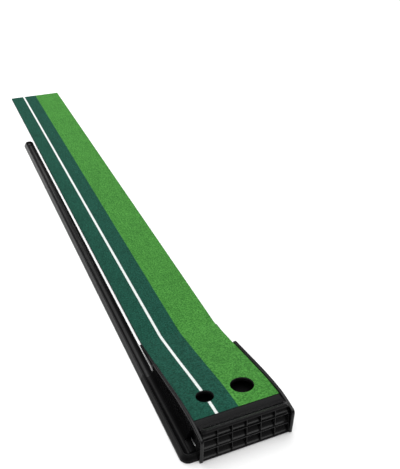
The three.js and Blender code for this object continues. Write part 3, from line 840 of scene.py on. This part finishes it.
def sweep_up(inside, count=14):
    """The trough's inner side, leaving the channel's floor smoothly and rising to meet the wall upright."""
    foot = Vector(channel_floor(-150, -150, 1)[0])
    turn, top = Vector((inside + 0.6, 30)), Vector((inside, TROUGH_TOP))
    curve = [foot * (1 - t) ** 2 + turn * 2 * t * (1 - t) + top * t * t for t in stations(0, 1, count)]
    return [tuple(p) for p in curve[1:]]


def make_gutter():
    inside = WALL_SKIN_OUT + 0.35
    bm = bmesh.new()
    kerb = [
        *OUTER_SKIRT,
        (TRACK_MID + CHANNEL, RAIL, 0.9),
        *channel_floor(-8, -150, 30),
        *sweep_up(inside),
        (inside, 0),
        (165.5, 0), (165.8, 9),
        *underside(-140, -22, 22),
        *OUTER_UNDER,
    ]
    run_along(bm, rounded(kerb, 3), GUTTER_FRONT, MOUTH_FRONT, fall, count=40)
    mouth = [
        *OUTER_SKIRT,
        (TRACK_MID + CHANNEL, RAIL, 0.9),
        *channel_floor(-8, -112, 22),
        (176.5, 7.6, 1.5), (inside, 8.1, 0.6), (inside, 3), (176, 3),
        *underside(-100, -22, 14),
        *OUTER_UNDER,
    ]
    run_along(bm, rounded(mouth, 3), MOUTH_FRONT - 0.4, GUTTER_BEND_Y, fall, count=8)
    half = half_section()
    loops = turned(half, (TRACK_MID, GUTTER_BEND_Y), 0, 90, 24)
    loops.append([(inside, GUTTER_BEND_Y + x - TRACK_MID, z) for x, z in half])
    add_loft(bm, [[(x, y, fall(y, z)) for x, y, z in loop] for loop in loops])
    tongue(bm, GUTTER_FRONT)
    # The gutter takes the shaded copy of the black plastic: painted shade.
    gutter = finish_mesh(bm, "gutter_shell", SHADED_BLACK)
    settle(gutter, "base", "black_plastic", "return_gutter", "gutter_bend")


make_track()
make_gutter()


# ---- turf ----
random.seed(7)


def turf_mesh(name, ys, level):
    """A closed sheet over the given stations: pile on top, backing beneath and round its cut edges."""
    inner = stations(-TURF_HALF + 4, TURF_HALF - 4, 44)
    xs = [-TURF_HALF, -TURF_HALF + 0.8, *inner, TURF_HALF - 0.8, TURF_HALF]
    bm = bmesh.new()
    top, bottom = [], []
    for row, y in enumerate(ys):
        base = level(y)
        upper, lower = [], []
        for x in xs:
            at_edge = TURF_HALF - abs(x)
            drop = 1.4 if at_edge < 0.1 else (0.5 if at_edge < 1 else 0)
            wobble = 0 if row in (0, len(ys) - 1) else random.uniform(-0.18, 0.1)
            upper.append(bm.verts.new(place((x, y, base + TURF_THICK - drop + wobble))))
            lower.append(bm.verts.new(place((x, y, base))))
        top.append(upper)
        bottom.append(lower)
    last = len(xs) - 1

    def face(material, *corners):
        bm.faces.new(corners).material_index = material

    for a in range(len(ys) - 1):
        for b in range(last):
            face(0, top[a][b], top[a][b + 1], top[a + 1][b + 1], top[a + 1][b])
            face(1, bottom[a][b], bottom[a + 1][b], bottom[a + 1][b + 1], bottom[a][b + 1])
        for b in (0, last):
            face(1, top[a][b], top[a + 1][b], bottom[a + 1][b], bottom[a][b])
    for a in (0, len(ys) - 1):
        for b in range(last):
            face(1, top[a][b], top[a][b + 1], bottom[a][b + 1], bottom[a][b])
    piece = finish_mesh(bm, name, PILE, TURF_CREASE)
    piece.data.materials.append(BACKING)
    return piece


def make_ramp_turf():
    ys = [FOLD_START + FOLD_OVERLAP, -494, -490, *stations(RAMP_TOE, TURF_NEAR, 110)]
    turf = turf_mesh("turf_on_ramp", ys, turf_under)
    for x, radius in HOLES:
        cut(turf, plug_shape(arc((x, HOLE_Y), radius, 0, 355, 71), "z", CUT_LOW, CUT_HIGH, BACKING))
    turf.data.shade_smooth()
    turf.data.set_sharp_from_angle(angle=math.radians(TURF_CREASE))
    settle(turf, "base", "turf", "turf_ramp", "turf_climb")


def make_folding_turf():
    """One piece across each fold, from the middle of one panel to the middle of the next."""
    for k in range(FOLDS):
        fold_y = FOLD_START - k * PANEL
        start = FOLD_START + FOLD_OVERLAP if k == 0 else fold_y + PANEL / 2
        end = TURF_FAR if k == FOLDS - 1 else fold_y - PANEL / 2
        bend_from = fold_y + FOLD_BEND if k else fold_y
        bend_to = fold_y - FOLD_BEND if k else fold_y - FOLD_BEND - 2
        near = stations(bend_from, bend_to, 22)
        ys = stations(start, bend_from, 1 if k == 0 else 8)[:-1] + near + stations(bend_to, end, 8)[1:]
        panel = f"turf_{k + 1:02d}"
        piece = turf_mesh(f"turf_fold_{k + 1:02d}", ys[::-1], turf_under)
        place((0, bend_from, 0))
        place((0, bend_to, 0))
        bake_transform(piece)
        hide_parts(panel)


make_ramp_turf()
make_folding_turf()


# ---- hook tape, feet, screws and tray ----
def make_hook_tape(name, y0, y1, node):
    bm = bmesh.new()
    loops = []
    for y in stations(y0, y1, 6):
        edge = 0.25 if y in (y0, y1) else 0
        half = HOOK_HALF - edge
        low, high = deck_top(y) - 1, deck_top(y) - edge
        outline = rounded([(-half, low), (half, low), (half, high, 0.4), (-half, high, 0.4)])
        loops.append([(x, y, z) for x, z in outline])
    add_loft(bm, loops)
    tape = finish_mesh(bm, name, HOOK)
    settle(tape, "base", "hook_fabric", node)


make_hook_tape("hook_tape_rear", -26, -8, "hook_strip_rear")
make_hook_tape("hook_tape_front", -478, -460, "hook_strip_front")


def make_foot(node):
    """A round rubber pad with softened edges."""
    low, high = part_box(node)
    centre = drawn((low + high) / 2)
    bm = bmesh.new()
    rings = [(7.2, 0.0), (7.8, 0.25), (8, 0.8), (8, 1.4), (7.7, 1.8), (7.0, 2.0), (2.4, 2.0)]
    add_loft(bm, [[(x, y, z) for x, y in arc(centre[:2], r, 0, 348.75, 31)] for r, z in rings])
    settle(finish_mesh(bm, node + "_pad", RUBBER), "base", "foot_rubber", node)


def dress(node, material):
    """A CAD node that keeps its shape and gets a better material."""
    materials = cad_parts[node].data.materials
    materials.clear()
    materials.append(material)


for name in list(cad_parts):
    if name.startswith("foot_"):
        make_foot(name)
    elif "screw" in name:
        dress(name, ZINC)
dress("ball_tray", SATIN_BLACK)


# ---- studio: plain pale floor, soft light ----
def make_studio():
    n = Nodes("studio_floor")
    pale = n.ramp(n.noise(3, 2), [(0.0, (0.86, 0.86, 0.86)), (1.0, (0.9, 0.9, 0.9))])
    n.link(pale, n.shader.inputs["Base Color"])
    n.shader.inputs["Roughness"].default_value = 0.9
    n.shader.inputs["Specular IOR Level"].default_value = 0.1
    mesh = bpy.data.meshes.new("floor")
    size = 14
    corners = [(-size, -size), (size, -size), (size, size), (-size, size)]
    mesh.from_pydata([(x, y, 0) for x, y in corners], [], [(0, 1, 2, 3)])
    floor = bpy.data.objects.new("floor", mesh)
    mesh.materials.append(n.material)
    bpy.context.scene.collection.objects.link(floor)
    world = bpy.context.scene.world or bpy.data.worlds.new("studio")
    bpy.context.scene.world = world
    world.use_nodes = True
    tree = world.node_tree
    background = tree.nodes["Background"]
    split = tree.nodes.new("ShaderNodeSeparateXYZ")
    fade = tree.nodes.new("ShaderNodeValToRGB")
    low, high = fade.color_ramp.elements
    low.position, low.color = 0.02, (0.34, 0.34, 0.34, 1)
    high.position, high.color = 0.7, (1, 1, 1, 1)
    tree.links.new(tree.nodes.new("ShaderNodeTexCoord").outputs["Generated"], split.inputs["Vector"])
    tree.links.new(split.outputs["Z"], fade.inputs["Fac"])
    tree.links.new(fade.outputs["Color"], background.inputs["Color"])
    background.inputs["Strength"].default_value = 0.42


def soft_box(name, at, aim, size, power):
    light = bpy.data.lights.new(name, "AREA")
    light.shape = "RECTANGLE"
    light.size, light.size_y = size
    light.energy = power
    box = bpy.data.objects.new(name, light)
    box.location = place(at)
    direction = place(aim) - box.location
    box.rotation_euler = direction.to_track_quat("-Z", "Y").to_euler()
    bpy.context.scene.collection.objects.link(box)


def soft_sky(strength, spread):
    """One very wide, even light from straight above, so that the floor stays evenly pale."""
    light = bpy.data.lights.new("sky", "SUN")
    light.energy = strength
    light.angle = math.radians(spread)
    sky = bpy.data.objects.new("sky", light)
    sky.rotation_euler = (math.radians(4), math.radians(-6), 0)
    bpy.context.scene.collection.objects.link(sky)


make_studio()
soft_sky(2.9, 75)
soft_box("front_panel", (-500, -3600, 3100), (0, -300, 60), (4.5, 2.2), 30)
soft_box("low_front_strip", (-500, -4300, 1330), (0, -300, 60), (3.0, 0.28), 4)
soft_box("low_side_strip", (2700, -4100, 800), (157, -400, 30), (1.8, 0.6), 12)
bpy.context.scene.view_settings.view_transform = "Standard"
